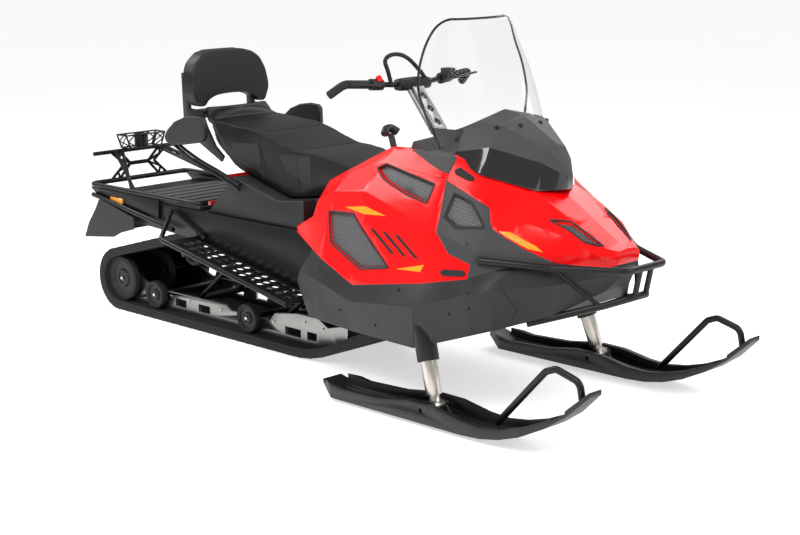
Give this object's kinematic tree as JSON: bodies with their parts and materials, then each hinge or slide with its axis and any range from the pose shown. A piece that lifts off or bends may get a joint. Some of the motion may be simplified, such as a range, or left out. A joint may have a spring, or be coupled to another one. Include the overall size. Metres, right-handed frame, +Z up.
{
  "type": "snowmobile",
  "caption": "Two-seat utility snowmobile: rubber track under a tunnel, steered skis on struts, faceted hood, windshield, padded seat with backrest and a rear cargo rack.",
  "frame": {"origin": "on the ground under the middle of the vehicle", "axes": "+X forward, +Y to the rider's left, +Z up"},
  "size_m": [3.192, 1.182, 1.47],
  "materials": {
    "aluminium": "machined",
    "amber": "reflector",
    "black_paint": "satin black powder coat",
    "black_plastic": "black grained",
    "clear": "clear polycarbonate",
    "grey_plastic": "dark grey grained",
    "red_lens": "lamp lens",
    "red_plastic": "glossy moulded red",
    "rubber": "black rubber",
    "screen": "woven vent screen",
    "seat_cover": "black vinyl",
    "smoked": "smoked lens",
    "steel": "zinc plated"
  },
  "bodies": {
    "chassis": {"backrest_bracket": "black_paint", "backrest_pad": "seat_cover", "bellypan": "black_plastic", "board_rails": "black_paint", "bogie_wheels": "rubber", "console": "grey_plastic", "cowl": "grey_plastic", "engine_block": "steel", "front_bumper": "black_paint", "grab_handles": "black_plastic", "headlight_lens": "smoked", "hood": "red_plastic", "rack_deck": "grey_plastic", "rack_frame": "black_paint", "rack_gussets": "black_paint", "rack_tower": "black_paint", "rear_idler_wheels": "rubber", "reflectors": "amber", "running_boards": "black_paint", "seat_base": "black_plastic", "seat_cushion": "seat_cover", "shock_absorber": "steel", "side_inserts": "grey_plastic", "side_panels": "red_plastic", "slide_rails": "aluminium", "snow_flap": "black_plastic", "strut_sleeves": "black_paint", "suspension_arms": "black_paint", "tail_light": "red_lens", "track": "rubber", "tunnel": "black_paint", "vent_screens": "screen", "wheel_axles": "black_paint", "windshield": "clear"},
    "steering": {"bar_controls": "black_plastic", "bar_pad": "black_plastic", "grips": "rubber", "handlebar": "black_paint", "steering_riser": "aluminium"},
    "ski_right": {"ski_loop_right": "black_paint", "ski_right": "black_plastic", "spindle_right": "aluminium"},
    "ski_left": {"ski_left": "black_plastic", "ski_loop_left": "black_paint", "spindle_left": "aluminium"}
  },
  "joints": [
    {"name": "handlebar_steer", "type": "hinge", "parent": "chassis", "child": "steering", "pos_m": [0.425, 0, 0.985], "axis": [-0.6293, 0, 0.7771], "range_deg": [-36, 36]},
    {"name": "ski_steer_right", "type": "hinge", "parent": "chassis", "child": "ski_right", "pos_m": [0.86, -0.505, 0.064], "axis": [-0.3238, 0.1038, 0.9404], "range_deg": [-30, 30]},
    {"name": "ski_steer_left", "type": "hinge", "parent": "chassis", "child": "ski_left", "pos_m": [0.86, 0.505, 0.064], "axis": [-0.3238, -0.1038, 0.9404], "range_deg": [-30, 30]}
  ],
  "couplings": [
    {"joint": "ski_steer_right", "follows": "handlebar_steer", "ratio": 0.8},
    {"joint": "ski_steer_left", "follows": "handlebar_steer", "ratio": 0.8}
  ]
}
